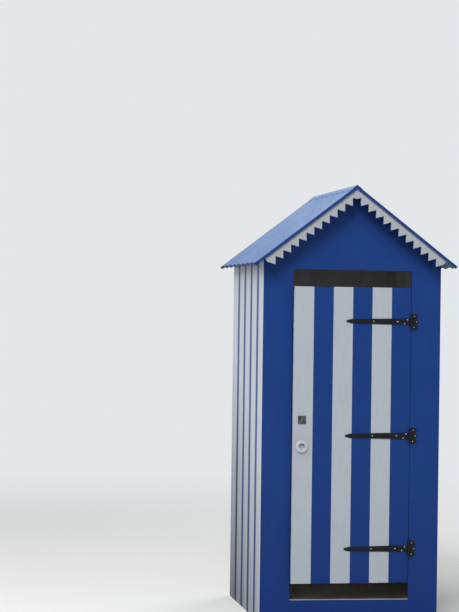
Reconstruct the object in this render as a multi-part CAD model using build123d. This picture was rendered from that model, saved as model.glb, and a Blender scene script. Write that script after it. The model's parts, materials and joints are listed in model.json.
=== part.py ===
"""A narrow timber beach hut: plywood walls, a corrugated gable roof, and a striped door on T-hinges.

Millimetres. X runs to the right across the front, Y runs back into the hut, Z is up.
The origin is on the ground, under the middle of the floor.
"""
import os
from math import asin, cos, radians, sin, tan

from build123d import *

# Overall box of the walls, measured over their outer faces.
HUT_WIDTH = 1000
HUT_DEPTH = 1100
ROOF_PITCH_DEG = 37.5

# Plywood and sawn timber.
FRONT_THICK = 18
SIDE_THICK = 18
BACK_THICK = 18
FLOOR_THICK = 18
POST_SIZE = 38
PURLIN_WIDTH = 38
EAVE_PURLIN_HEIGHT = 40
RIDGE_PURLIN_HEIGHT = 54
BEARER_WIDTH = 50

# Doorway cut in the front sheet, the eaves above it, and the floor just below its sill.
OPENING_WIDTH = 670
SILL_HEIGHT = 125
OPENING_HEIGHT = 1822
EAVES_ABOVE_OPENING = 64
FLOOR_RECESS = 14

# Door leaf, shorter than its doorway, standing a little open.
DOOR_SIDE_GAP = 2.5
DOOR_GAP_UNDER = 93
DOOR_GAP_OVER = 94
AJAR_DEG = 3
STOP_GAP = 1
STOP_SHOWING = 13
STOP_WIDTH = 38
STOP_THICK = 18

# T-hinges with a long strap on the door and a short leaf on the stile.
HINGE_END_MARGIN = 188
MIDDLE_HINGE_DROP = 4
STRAP_LENGTH = 371
STRAP_ROOT_WIDTH = 37
STRAP_END_WIDTH = 24
STRAP_POINT_LENGTH = 28
STRAP_TIP_WIDTH = 8
LEAF_WIDTH = 41
LEAF_HEIGHT = 88
LEAF_NECK_WIDTH = 31
LOBE_RADIUS = 13
LOBE_SETBACK = 4
HINGE_PLATE_THICK = 3
KNUCKLE_RADIUS = 6
KNUCKLE_STAND_OFF = 0.5
KNUCKLE_END_GAP = 0.4
PLATE_SETBACK = 1.5
PIN_RADIUS = 2.9
PIN_CLEARANCE = 0.08
PIN_HEAD_RADIUS = 4.8
PIN_HEAD_HEIGHT = 2

# Lock plate, rim lock behind it, and the round pull.
LOCK_FROM_EDGE = 50
LOCK_ABOVE_PULL = 147
LOCK_PLATE_SIZE = 45
LOCK_PLATE_THICK = 3
KEYHOLE_RADIUS = 3.5
KEYHOLE_SLOT_WIDTH = 3
KEYHOLE_SLOT_DROP = 10
LOCK_CASE_WIDTH = 70
LOCK_CASE_HEIGHT = 52
LOCK_CASE_THICK = 17
LOCK_CASE_EDGE = 2
LOCK_BOLT_HEIGHT = 16
LOCK_BOLT_THICK = 8
LOCK_BOLT_SHOWING = 3
PULL_UP_DOOR = 754
PULL_RADIUS = 33
PULL_THICK = 11
PULL_EDGE_ROUND = 4
RECESS_RADIUS = 17
DISH_THICK = 2.5
DISH_HOLLOW = 1.2
DISH_CLEARANCE = 0.3

# Corrugated roof sheets, with the waves running down the slope and a fold down over each bargeboard.
EAVE_OVERHANG = 62
GABLE_OVERHANG = 95
SHEET_THICK = 2.5
WAVE_HEIGHT = 10
HALF_WAVES = 16
SHEET_SEAT_GAP = 0.3
FOLD_BELOW_BOARD_TOP = 1
RIDGE_SLOT = 2
RIDGE_TRIM = 20
CAP_WING = 25
CAP_THICK = 2

# Saw-tooth bargeboards.
BOARD_THICK = 15
BOARD_SETBACK = 8
BOARD_DROP = 2
BOARD_BAND = 24
BOARD_END_PAST_WALL = 9
TOOTH_COUNT = 11
TOOTH_DEPTH = 36
APEX_ROOT_X = 24

# Narrow bench across the back.
BENCH_HEIGHT = 446
BENCH_DEPTH = 190
BENCH_THICK = 18
CLEAT_SIZE = 30

# Derived sizes and places.
PITCH = radians(ROOF_PITCH_DEG)
HALF_WIDTH = HUT_WIDTH / 2
FRONT_Y = -HUT_DEPTH / 2
BACK_Y = HUT_DEPTH / 2
INNER_FRONT_Y = FRONT_Y + FRONT_THICK
INNER_BACK_Y = BACK_Y - BACK_THICK
INNER_X = HALF_WIDTH - SIDE_THICK
OPENING_TOP = SILL_HEIGHT + OPENING_HEIGHT
WALL_HEIGHT = OPENING_TOP + EAVES_ABOVE_OPENING
RIDGE_Z = WALL_HEIGHT + HALF_WIDTH * tan(PITCH)
ROOF_FRONT_Y = FRONT_Y - GABLE_OVERHANG
ROOF_BACK_Y = BACK_Y + GABLE_OVERHANG
BOARD_STAND_OUT = GABLE_OVERHANG - BOARD_SETBACK - BOARD_THICK
FLOOR_Z = SILL_HEIGHT - FLOOR_RECESS
HALF_OPENING = OPENING_WIDTH / 2
DOOR_HALF_WIDTH = HALF_OPENING - DOOR_SIDE_GAP
DOOR_THICK = FRONT_THICK - STOP_GAP
DOOR_BOTTOM = SILL_HEIGHT + DOOR_GAP_UNDER
DOOR_TOP = OPENING_TOP - DOOR_GAP_OVER
HINGE_X = HALF_OPENING - DOOR_SIDE_GAP / 2
HINGE_Y = FRONT_Y - KNUCKLE_RADIUS - KNUCKLE_STAND_OFF
LOCK_X = -DOOR_HALF_WIDTH + LOCK_FROM_EDGE
PULL_HEIGHT = DOOR_BOTTOM + PULL_UP_DOOR
LOCK_HEIGHT = PULL_HEIGHT + LOCK_ABOVE_PULL
HINGE_HEIGHTS = {
    "upper": DOOR_TOP - HINGE_END_MARGIN,
    "middle": (DOOR_TOP + DOOR_BOTTOM) / 2 - MIDDLE_HINGE_DROP,
    "lower": DOOR_BOTTOM + HINGE_END_MARGIN,
}
SIDES = {"left": -1, "right": 1}


def deck_z(x):
    """Height of the line that the roof sheets' troughs lie on, at a distance x from the middle."""
    return RIDGE_Z - abs(x) * tan(PITCH)


def slope_point(side, along, out):
    """Point in the gable plane: along is measured down the slope from the ridge, out is above it."""
    x = side * (along * cos(PITCH) + out * sin(PITCH))
    z = RIDGE_Z - along * sin(PITCH) + out * cos(PITCH)
    return (x, z)


def prism(points, y_from, y_to):
    """Solid with an outline in the XZ plane, from y_from back to y_to."""
    face = make_face(Polyline(*[(x, y_from, z) for x, z in points], close=True))
    return extrude(face, amount=y_to - y_from, dir=(0, 1, 0))


def block(x_span, y_span, z_span):
    """Square-edged timber between two X, two Y and two Z values."""
    low = (min(x_span), min(y_span), min(z_span))
    size = [max(span) - min(span) for span in (x_span, y_span, z_span)]
    return Pos(*low) * Box(*size, align=(Align.MIN, Align.MIN, Align.MIN))


# Purlins, whose tops are bevelled to the roof.

def eave_purlin(side):
    outer = INNER_X
    inner = INNER_X - PURLIN_WIDTH
    bottom = deck_z(outer) - EAVE_PURLIN_HEIGHT
    outline = [(side * outer, bottom), (side * outer, deck_z(outer)),
               (side * inner, deck_z(inner)), (side * inner, bottom)]
    return prism(outline, FRONT_Y - BOARD_STAND_OUT, BACK_Y + BOARD_STAND_OUT)


def ridge_purlin():
    half = PURLIN_WIDTH / 2
    bottom = RIDGE_Z - RIDGE_PURLIN_HEIGHT
    outline = [(-half, bottom), (-half, deck_z(half)), (0, RIDGE_Z), (half, deck_z(half)), (half, bottom)]
    return prism(outline, FRONT_Y - BOARD_STAND_OUT, BACK_Y + BOARD_STAND_OUT)


def purlins():
    return [ridge_purlin()] + [eave_purlin(side) for side in SIDES.values()]


def notched(wall):
    """A gable wall with the purlins' notches cut out of it."""
    for beam in purlins():
        wall -= beam
    return wall


# Walls.

def front_stile(side):
    return block((side * HALF_OPENING, side * HALF_WIDTH), (FRONT_Y, INNER_FRONT_Y), (0, OPENING_TOP))


def front_sill_panel():
    return block((-HALF_OPENING, HALF_OPENING), (FRONT_Y, INNER_FRONT_Y), (0, SILL_HEIGHT))


def gable_outline(bottom):
    return [(-HALF_WIDTH, bottom), (-HALF_WIDTH, WALL_HEIGHT), (0, RIDGE_Z),
            (HALF_WIDTH, WALL_HEIGHT), (HALF_WIDTH, bottom)]


def front_gable():
    return notched(prism(gable_outline(OPENING_TOP), FRONT_Y, INNER_FRONT_Y))


def back_wall():
    return notched(prism(gable_outline(0), INNER_BACK_Y, BACK_Y))


def side_wall(side):
    outline = [(side * INNER_X, 0), (side * HALF_WIDTH, 0), (side * HALF_WIDTH, WALL_HEIGHT),
               (side * INNER_X, deck_z(INNER_X))]
    return prism(outline, INNER_FRONT_Y, INNER_BACK_Y)


def corner_post(side, at_front):
    x_span = (side * INNER_X, side * (INNER_X - POST_SIZE))
    y_from = INNER_FRONT_Y if at_front else INNER_BACK_Y - POST_SIZE
    return block(x_span, (y_from, y_from + POST_SIZE), (FLOOR_Z, deck_z(INNER_X) - EAVE_PURLIN_HEIGHT))


# Floor and its bearers.

def floor_panel():
    return block((-INNER_X, INNER_X), (INNER_FRONT_Y, INNER_BACK_Y), (FLOOR_Z - FLOOR_THICK, FLOOR_Z))


def floor_bearer(place):
    centre = place * (INNER_X - BEARER_WIDTH / 2)
    x_span = (centre - BEARER_WIDTH / 2, centre + BEARER_WIDTH / 2)
    return block(x_span, (INNER_FRONT_Y, INNER_BACK_Y), (0, FLOOR_Z - FLOOR_THICK))


# Bench.

BENCH_TOP = FLOOR_Z + BENCH_HEIGHT


def bench_board():
    """Board across the back, notched round the two back posts."""
    board = block((-INNER_X, INNER_X), (INNER_BACK_Y - BENCH_DEPTH, INNER_BACK_Y),
                  (BENCH_TOP - BENCH_THICK, BENCH_TOP))
    for side in SIDES.values():
        board -= corner_post(side, at_front=False)
    return board


def bench_cleat(side):
    x_span = (side * INNER_X, side * (INNER_X - CLEAT_SIZE))
    y_span = (INNER_BACK_Y - BENCH_DEPTH, INNER_BACK_Y - POST_SIZE)
    top = BENCH_TOP - BENCH_THICK
    return block(x_span, y_span, (top - CLEAT_SIZE, top))


# Corrugated roof sheets: each half wave is one arc, tangent to its neighbours, from crest to crest.

ROOF_DEPTH = ROOF_BACK_Y - ROOF_FRONT_Y
HALF_WAVE = ROOF_DEPTH / HALF_WAVES
WAVE_RISE = WAVE_HEIGHT / 2
WAVE_RADIUS = ((HALF_WAVE / 2) ** 2 + WAVE_RISE ** 2) / (2 * WAVE_RISE)
WAVE_HALF_ANGLE = asin(HALF_WAVE / 2 / WAVE_RADIUS)
SHEET_MIDDLE = SHEET_SEAT_GAP + SHEET_THICK / 2 + WAVE_RISE
FOLD_END = -BOARD_DROP - FOLD_BELOW_BOARD_TOP - SHEET_MIDDLE


def wave_point(index, angle, offset):
    """Point on half wave number index, offset above the sheet's middle surface."""
    up = -1 if index % 2 else 1
    radius = WAVE_RADIUS + up * offset
    height = up * (radius * cos(angle) - (WAVE_RADIUS - WAVE_RISE))
    return (index * HALF_WAVE + radius * sin(angle), height)


def wave_line(offset, inset=0):
    """Arcs from the front edge to the back edge, stopping short of both by the inset."""
    end_angle = asin(inset / (WAVE_RADIUS + offset))
    arcs = []
    for index in range(HALF_WAVES + 1):
        first = end_angle if index == 0 else -WAVE_HALF_ANGLE
        last = -end_angle if index == HALF_WAVES else WAVE_HALF_ANGLE
        middle = (first + last) / 2
        arcs.append(ThreePointArc(*[wave_point(index, angle, offset) for angle in (first, middle, last)]))
    return arcs


def down_slope(side, section, length, from_middle):
    """Solid with a waved section, mitred at from_middle beside the ridge and running down the slope."""
    x, z = slope_point(side, -RIDGE_TRIM, SHEET_MIDDLE)
    out = Vector(side * sin(PITCH), 0, cos(PITCH))
    down = Vector(side * cos(PITCH), 0, -sin(PITCH))
    across = Vector(0, 1, 0)
    plane = Plane(origin=(x, ROOF_FRONT_Y, z), x_dir=across, z_dir=across.cross(out))
    strip = extrude(plane * section, amount=length + RIDGE_TRIM, dir=down)
    beyond = (side * from_middle, -side * HALF_WIDTH)
    return strip - block(beyond, (2 * ROOF_FRONT_Y, 2 * ROOF_BACK_Y), (0, 2 * RIDGE_Z))


def roof_sheet(side):
    """Waved sheet, folded down at the front and back edges over the bargeboards' top edges."""
    upper = wave_line(SHEET_THICK / 2)
    lower = wave_line(-SHEET_THICK / 2, SHEET_THICK)
    folds = []
    for outer, inner in ((upper[0] @ 0, lower[0] @ 0), (upper[-1] @ 1, lower[-1] @ 1)):
        folds.append(Polyline(outer, (outer.X, FOLD_END), (inner.X, FOLD_END), inner))
    section = make_face([*upper, *lower, *folds])
    return down_slope(side, section, (HALF_WIDTH + EAVE_OVERHANG) / cos(PITCH), RIDGE_SLOT / 2)


def ridge_cap():
    """Moulded strip over the ridge, straight on top, with waves below that close it onto the sheets."""
    under = SHEET_THICK / 2 + SHEET_SEAT_GAP
    top = WAVE_RISE + under + CAP_THICK
    lower = wave_line(under)
    front, back = lower[0] @ 0, lower[-1] @ 1
    over = Polyline(front, (front.X, top), (back.X, top), back)
    section = make_face([*lower, over])
    left, right = [down_slope(side, section, CAP_WING, 0) for side in SIDES.values()]
    return left + right


# Bargeboards.

BOARD_LENGTH = (HALF_WIDTH + BOARD_END_PAST_WALL) / cos(PITCH)
BOARD_ROOT = -BOARD_DROP - BOARD_BAND
BOARD_TIP = BOARD_ROOT - TOOTH_DEPTH
FIRST_ROOT = (APEX_ROOT_X - BOARD_ROOT * sin(PITCH)) / cos(PITCH)
TOOTH_PITCH = (BOARD_LENGTH - FIRST_ROOT) / TOOTH_COUNT


def bargeboard(side, front):
    """One raking board with teeth. The two boards share one more tooth, which their mitre cuts off."""
    outline = [
        (0, RIDGE_Z - BOARD_DROP / cos(PITCH)),
        slope_point(side, BOARD_LENGTH, -BOARD_DROP),
        slope_point(side, BOARD_LENGTH, BOARD_ROOT),
    ]
    for number in reversed(range(TOOTH_COUNT)):
        root = FIRST_ROOT + number * TOOTH_PITCH
        outline.append(slope_point(side, root + TOOTH_PITCH / 2, BOARD_TIP))
        outline.append(slope_point(side, root, BOARD_ROOT))
    root_x, root_z = outline[-1]
    tip_x, tip_z = slope_point(side, FIRST_ROOT - TOOTH_PITCH / 2, BOARD_TIP)
    outline.append((0, root_z + (tip_z - root_z) * root_x / (root_x - tip_x)))
    if front:
        return prism(outline, FRONT_Y - BOARD_STAND_OUT - BOARD_THICK, FRONT_Y - BOARD_STAND_OUT)
    return prism(outline, BACK_Y + BOARD_STAND_OUT, BACK_Y + BOARD_STAND_OUT + BOARD_THICK)


# T-hinges. Each barrel has three lengths of knuckle: leaf, strap, leaf.

PLATE_START = KNUCKLE_RADIUS + PLATE_SETBACK


def upright(x, y, z_from, z_to, radius):
    """Upright round bar."""
    return Pos(x, y, z_from) * Cylinder(radius, z_to - z_from, align=(Align.CENTER, Align.CENTER, Align.MIN))


def knuckle(z_from, z_to):
    bore = upright(HINGE_X, HINGE_Y, z_from, z_to, PIN_RADIUS + PIN_CLEARANCE)
    return upright(HINGE_X, HINGE_Y, z_from, z_to, KNUCKLE_RADIUS) - bore


def plate(outline_face):
    """Hinge plate on the front face of the wall or door, from an outline drawn about the hinge's middle."""
    return extrude(outline_face, amount=HINGE_PLATE_THICK, dir=(0, -1, 0))


def hinge_frame(height):
    """Drawing plane on the front face: X to the right, Y up, with its origin at the hinge's middle."""
    return Plane(origin=(HINGE_X, FRONT_Y, height), x_dir=(1, 0, 0), z_dir=(0, -1, 0))


def knuckle_web(sign, z_from, z_to):
    """Joggle that carries the flat leaf or strap onto its knuckle."""
    x_span = (HINGE_X, HINGE_X + sign * (PLATE_START + HINGE_PLATE_THICK))
    back = FRONT_Y - KNUCKLE_STAND_OFF
    web = block(x_span, (back - HINGE_PLATE_THICK, back), (z_from, z_to))
    return web - upright(HINGE_X, HINGE_Y, z_from, z_to, KNUCKLE_RADIUS - HINGE_PLATE_THICK)


def hinge_strap(height):
    """Tapered strap with a pointed end, wrapped round the middle of the pin."""
    root = STRAP_ROOT_WIDTH / 2
    end = STRAP_END_WIDTH / 2
    tip = STRAP_TIP_WIDTH / 2
    shoulder = STRAP_LENGTH - STRAP_POINT_LENGTH
    outline = Polyline((-PLATE_START, -root), (-shoulder, -end), (-STRAP_LENGTH, -tip), (-STRAP_LENGTH, tip),
                       (-shoulder, end), (-PLATE_START, root), close=True)
    strap = plate(hinge_frame(height) * make_face(outline))
    z_from, z_to = height - root, height + root
    return strap + knuckle_web(-1, z_from, z_to) + knuckle(z_from, z_to)


def leaf_face():
    """Outline of the short leaf, with a low lobe round each screw."""
    half = LEAF_HEIGHT / 2
    middle_x = LEAF_WIDTH - LOBE_RADIUS
    end_x = middle_x - LOBE_SETBACK
    outline = Pos((PLATE_START + end_x) / 2, 0) * Rectangle(end_x - PLATE_START, LEAF_HEIGHT)
    neck = Rectangle(LEAF_NECK_WIDTH - PLATE_START, LEAF_HEIGHT - 2 * LOBE_RADIUS)
    outline += Pos((PLATE_START + LEAF_NECK_WIDTH) / 2, 0) * neck
    for x, y in ((end_x, half - LOBE_RADIUS), (middle_x, 0), (end_x, LOBE_RADIUS - half)):
        outline += Pos(x, y) * Circle(LOBE_RADIUS)
    return outline


def hinge_leaf(height):
    """Short leaf on the stile, with a knuckle above and a knuckle below the strap's."""
    leaf = plate(hinge_frame(height) * leaf_face())
    inner = STRAP_ROOT_WIDTH / 2 + KNUCKLE_END_GAP
    outer = LEAF_HEIGHT / 2
    for z_from, z_to in ((height + inner, height + outer), (height - outer, height - inner)):
        leaf += knuckle_web(1, z_from, z_to) + knuckle(z_from, z_to)
    return leaf


def hinge_pin(height):
    half = LEAF_HEIGHT / 2
    pin = upright(HINGE_X, HINGE_Y, height - half, height + half, PIN_RADIUS)
    pin += upright(HINGE_X, HINGE_Y, height + half, height + half + PIN_HEAD_HEIGHT, PIN_HEAD_RADIUS)
    return pin + upright(HINGE_X, HINGE_Y, height - half - PIN_HEAD_HEIGHT, height - half, PIN_HEAD_RADIUS)


# Door leaf and its furniture, made in the closed place.

def door_panel():
    y_span = (FRONT_Y, FRONT_Y + DOOR_THICK)
    return block((-DOOR_HALF_WIDTH, DOOR_HALF_WIDTH), y_span, (DOOR_BOTTOM, DOOR_TOP))


def door_stop():
    """Strip on the back of the left stile, that the closed door lies against."""
    edge = -HALF_OPENING + STOP_SHOWING
    y_span = (INNER_FRONT_Y, INNER_FRONT_Y + STOP_THICK)
    return block((edge - STOP_WIDTH, edge), y_span, (DOOR_BOTTOM, DOOR_TOP))


def lock_plate():
    frame = Plane(origin=(LOCK_X, FRONT_Y, LOCK_HEIGHT), x_dir=(1, 0, 0), z_dir=(0, -1, 0))
    slot = Pos(0, -KEYHOLE_SLOT_DROP / 2) * Rectangle(KEYHOLE_SLOT_WIDTH, KEYHOLE_SLOT_DROP)
    keyhole = Circle(KEYHOLE_RADIUS) + slot
    return extrude(frame * (Rectangle(LOCK_PLATE_SIZE, LOCK_PLATE_SIZE) - keyhole), amount=LOCK_PLATE_THICK)


def lock_case():
    """Rim lock on the inner face, with its bolt drawn back."""
    y_from = FRONT_Y + DOOR_THICK
    edge = LOCK_X - LOCK_CASE_WIDTH / 2
    z_span = (LOCK_HEIGHT - LOCK_CASE_HEIGHT / 2, LOCK_HEIGHT + LOCK_CASE_HEIGHT / 2)
    case = block((edge, edge + LOCK_CASE_WIDTH), (y_from, y_from + LOCK_CASE_THICK), z_span)
    case = chamfer(case.faces().sort_by(Axis.Y)[-1].edges(), LOCK_CASE_EDGE)
    bolt_y = y_from + LOCK_CASE_THICK / 2
    return case + block((edge - LOCK_BOLT_SHOWING, edge),
                        (bolt_y - LOCK_BOLT_THICK / 2, bolt_y + LOCK_BOLT_THICK / 2),
                        (LOCK_HEIGHT - LOCK_BOLT_HEIGHT / 2, LOCK_HEIGHT + LOCK_BOLT_HEIGHT / 2))


def pull_place():
    """Plane on the door's face at the pull's centre, with its normal pointing out."""
    return Plane(origin=(LOCK_X, FRONT_Y, PULL_HEIGHT), x_dir=(1, 0, 0), z_dir=(0, -1, 0))


def pull_ring():
    """Round moulded ring with softened rims."""
    section = make_face(Polyline((RECESS_RADIUS, 0), (PULL_RADIUS, 0), (PULL_RADIUS, PULL_THICK),
                                 (RECESS_RADIUS, PULL_THICK), close=True))
    rims = [vertex for vertex in section.vertices() if vertex.Y > PULL_THICK / 2]
    section = fillet(rims, PULL_EDGE_ROUND)
    ring = revolve(Plane.XZ * section, Axis.Z)
    return pull_place() * ring


def pull_dish():
    """Shallow dish that closes the bottom of the ring's recess."""
    radius = RECESS_RADIUS - DISH_CLEARANCE
    dish = Cylinder(radius, DISH_THICK, align=(Align.CENTER, Align.CENTER, Align.MIN))
    sphere_radius = (radius ** 2 + DISH_HOLLOW ** 2) / (2 * DISH_HOLLOW)
    dish -= Pos(0, 0, DISH_THICK - DISH_HOLLOW + sphere_radius) * Sphere(sphere_radius)
    return pull_place() * dish


# The whole hut, by body.

def hut_pieces():
    pieces = {
        "front_sill_panel": front_sill_panel(),
        "front_gable": front_gable(),
        "back_wall": back_wall(),
        "floor_panel": floor_panel(),
        "floor_bearer_left": floor_bearer(-1),
        "floor_bearer_middle": floor_bearer(0),
        "floor_bearer_right": floor_bearer(1),
        "door_stop": door_stop(),
        "bench_board": bench_board(),
        "ridge_purlin": ridge_purlin(),
        "ridge_cap": ridge_cap(),
    }
    for name, side in SIDES.items():
        pieces[f"front_stile_{name}"] = front_stile(side)
        pieces[f"side_wall_{name}"] = side_wall(side)
        pieces[f"corner_post_front_{name}"] = corner_post(side, at_front=True)
        pieces[f"corner_post_back_{name}"] = corner_post(side, at_front=False)
        pieces[f"bench_cleat_{name}"] = bench_cleat(side)
        pieces[f"eave_purlin_{name}"] = eave_purlin(side)
        pieces[f"roof_sheet_{name}"] = roof_sheet(side)
        pieces[f"bargeboard_front_{name}"] = bargeboard(side, front=True)
        pieces[f"bargeboard_back_{name}"] = bargeboard(side, front=False)
    for name, height in HINGE_HEIGHTS.items():
        pieces[f"hinge_leaf_{name}"] = hinge_leaf(height)
        pieces[f"hinge_pin_{name}"] = hinge_pin(height)
    return pieces


def door_pieces():
    """Everything that swings, turned to where the door stands a little open."""
    pieces = {
        "door_panel": door_panel(),
        "lock_plate": lock_plate(),
        "lock_case": lock_case(),
        "pull_ring": pull_ring(),
        "pull_dish": pull_dish(),
    }
    for name, height in HINGE_HEIGHTS.items():
        pieces[f"hinge_strap_{name}"] = hinge_strap(height)
    pin_line = Axis((HINGE_X, HINGE_Y, 0), (0, 0, 1))
    return {name: piece.rotate(pin_line, AJAR_DEG) for name, piece in pieces.items()}


os.makedirs("parts", exist_ok=True)
for node, piece in {**hut_pieces(), **door_pieces()}.items():
    export_step(piece, f"parts/{node}.step")
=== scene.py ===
import json
from math import cos, radians, sin, tan

import bmesh
import bpy
from mathutils import Matrix, Vector


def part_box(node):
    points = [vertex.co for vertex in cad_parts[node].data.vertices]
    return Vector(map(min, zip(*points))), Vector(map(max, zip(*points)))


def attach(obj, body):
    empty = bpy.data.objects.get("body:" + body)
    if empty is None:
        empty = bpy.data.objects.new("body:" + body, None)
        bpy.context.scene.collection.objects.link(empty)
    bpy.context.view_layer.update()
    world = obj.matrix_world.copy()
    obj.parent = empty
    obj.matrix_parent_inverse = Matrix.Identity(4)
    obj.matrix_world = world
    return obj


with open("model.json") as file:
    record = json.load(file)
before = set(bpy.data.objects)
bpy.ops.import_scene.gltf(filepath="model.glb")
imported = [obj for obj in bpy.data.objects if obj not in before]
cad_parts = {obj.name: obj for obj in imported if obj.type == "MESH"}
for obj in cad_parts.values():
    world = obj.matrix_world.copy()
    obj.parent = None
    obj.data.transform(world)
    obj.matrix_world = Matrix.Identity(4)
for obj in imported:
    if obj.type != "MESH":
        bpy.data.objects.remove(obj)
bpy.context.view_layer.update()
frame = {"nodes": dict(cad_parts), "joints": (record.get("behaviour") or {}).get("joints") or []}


# Camera.
# A long lens at eye height, to the left of the hut, placed by the perspective of the walls and doorway.
PHOTO_LONG_SIDE_PX = 612
SENSOR_MM = 36
FOCAL_PX = 2096.3
CAMERA_PLACE = Vector((-2.376, -11.92, 1.7357))
CAMERA_YAW = radians(8.4455)
CAMERA_PITCH = radians(0.0193)
CAMERA_ROLL = radians(-0.7609)

ahead = Vector((sin(CAMERA_YAW) * cos(CAMERA_PITCH),
                cos(CAMERA_YAW) * cos(CAMERA_PITCH),
                sin(CAMERA_PITCH)))
level_right = Vector((cos(CAMERA_YAW), -sin(CAMERA_YAW), 0))
right = Matrix.Rotation(CAMERA_ROLL, 3, ahead) @ level_right
up = right.cross(ahead)
camera_data = bpy.data.cameras.new("camera")
camera_data.sensor_width = SENSOR_MM
camera_data.lens = FOCAL_PX * SENSOR_MM / PHOTO_LONG_SIDE_PX
camera = bpy.data.objects.new("camera", camera_data)
camera.matrix_world = Matrix.Translation(CAMERA_PLACE) @ Matrix((right, up, -ahead)).transposed().to_4x4()
bpy.context.scene.collection.objects.link(camera)
bpy.context.scene.camera = camera
bpy.context.scene.view_settings.view_transform = "Standard"


# Floor bearers, corner posts and bench cleats.
# Sawn softwood, left bare. The bearers lie on the ground under the floor, and the posts stand in its
# corners, where the walls are screwed to them.
class Amount:
    """A number, colour or direction that varies over a surface. Arithmetic on numbers adds Math nodes."""

    def __init__(self, finish, socket):
        self.finish = finish
        self.socket = socket

    def maths(self, operation, *values):
        return self.finish.node("ShaderNodeMath", {"operation": operation}, dict(enumerate(values)))

    def __add__(self, other):
        return self.maths("ADD", self, other)

    def __radd__(self, other):
        return self.maths("ADD", other, self)

    def __sub__(self, other):
        return self.maths("SUBTRACT", self, other)

    def __rsub__(self, other):
        return self.maths("SUBTRACT", other, self)

    def __mul__(self, other):
        return self.maths("MULTIPLY", self, other)

    def __rmul__(self, other):
        return self.maths("MULTIPLY", other, self)

    def __truediv__(self, other):
        return self.maths("DIVIDE", self, other)

    def __mod__(self, other):
        return self.maths("FLOORED_MODULO", self, other)

    def __floordiv__(self, other):
        return self.maths("FLOOR", self / other)

    def __gt__(self, other):
        return self.maths("GREATER_THAN", self, other)

    def __lt__(self, other):
        return self.maths("LESS_THAN", self, other)

    def __abs__(self):
        return self.maths("ABSOLUTE", self)

    def sign(self):
        return self.maths("SIGN", self)


class Finish:
    """One material, with the place and the direction of its surface ready to read."""

    def __init__(self, name):
        self.material = bpy.data.materials.new(name)
        self.material.use_nodes = True
        self.tree = self.material.node_tree
        self.shader = self.tree.nodes["Principled BSDF"]
        coordinates = self.tree.nodes.new("ShaderNodeTexCoord")
        self.place = Amount(self, coordinates.outputs["Object"])
        self.normal = Amount(self, coordinates.outputs["Normal"])
        self.x, self.y, self.z = self.split(self.place)
        self.facing_x, self.facing_y, self.facing_z = self.split(self.normal)

    def fill(self, socket, value):
        if isinstance(value, Amount):
            self.tree.links.new(value.socket, socket)
        else:
            socket.default_value = value

    def node(self, kind, settings, values, output=0):
        """Adds a node: its settings first, then the values or links of its sockets."""
        made = self.tree.nodes.new(kind)
        for name, setting in settings.items():
            setattr(made, name, setting)
        for name, value in values.items():
            self.fill(made.inputs[name], value)
        return Amount(self, made.outputs[output])

    def split(self, vector):
        return [self.node("ShaderNodeSeparateXYZ", {}, {0: vector}, axis) for axis in range(3)]

    def noise(self, per_metre, grain=(1, 1, 1), detail=3, distortion=0):
        """Soft noise with so many grains to the metre, drawn out along an axis whose share is small."""
        spread = self.node("ShaderNodeMapping", {}, {"Vector": self.place, "Scale": grain})
        values = {"Vector": spread, "Scale": per_metre, "Detail": detail, "Distortion": distortion}
        return self.node("ShaderNodeTexNoise", {}, values)

    def ramp(self, value, low, high, step="SMOOTHSTEP"):
        """0 up to low and 1 from high, with a smooth or a linear step between."""
        return self.node("ShaderNodeMapRange", {"interpolation_type": step}, {0: value, 1: low, 2: high})

    def mix(self, share, first, second):
        return self.node("ShaderNodeMix", {"data_type": "RGBA"}, {0: share, 6: first, 7: second}, 2)

    def multiply(self, share, colour, tint):
        settings = {"data_type": "RGBA", "blend_type": "MULTIPLY"}
        return self.node("ShaderNodeMix", settings, {0: share, 6: colour, 7: tint}, 2)

    def relief(self, height, depth):
        """Bump that stands out by height times depth, in metres."""
        bump = self.node("ShaderNodeBump", {}, {"Height": height, "Distance": depth, "Strength": 1.0})
        self.surface({"Normal": bump})

    def surface(self, values):
        for name, value in values.items():
            self.fill(self.shader.inputs[name], value)


def give(finish, *names):
    """Puts a finish on CAD nodes, whose shapes stay as they are."""
    for name in names:
        for material_slot in frame["nodes"][name].material_slots:
            material_slot.material = finish.material


SOFTWOOD_PALE = (0.53, 0.49, 0.42, 1)
SOFTWOOD_DARK = (0.42, 0.37, 0.30, 1)
SOFTWOOD_ROUGHNESS = 0.78
RINGS_PER_METRE = 26
RING_WANDER = 0.6
FIBRES_PER_METRE = 420
SAW_MARK_DEPTH = 0.0006
ALONG_Z = (1, 1, 0.05)
ALONG_Y = (1, 0.05, 1)


def bare_softwood(name, grain):
    finish = Finish(name)
    rings = finish.ramp(finish.noise(RINGS_PER_METRE, grain, 2, RING_WANDER), 0.38, 0.62)
    fibres = finish.noise(FIBRES_PER_METRE, grain, 2)
    finish.surface({
        "Base Color": finish.mix(rings * 0.7 + fibres * 0.3, SOFTWOOD_PALE, SOFTWOOD_DARK),
        "Roughness": SOFTWOOD_ROUGHNESS,
    })
    finish.relief(fibres * 0.6 + rings * 0.4, SAW_MARK_DEPTH)
    return finish


posts = [f"corner_post_{end}_{side}" for end in ("front", "back") for side in ("left", "right")]
bearers = [f"floor_bearer_{place}" for place in ("left", "middle", "right")]
give(bare_softwood("bare_posts", ALONG_Z), *posts)
give(bare_softwood("bare_bearers", ALONG_Y), *bearers, "bench_cleat_left", "bench_cleat_right")


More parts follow.
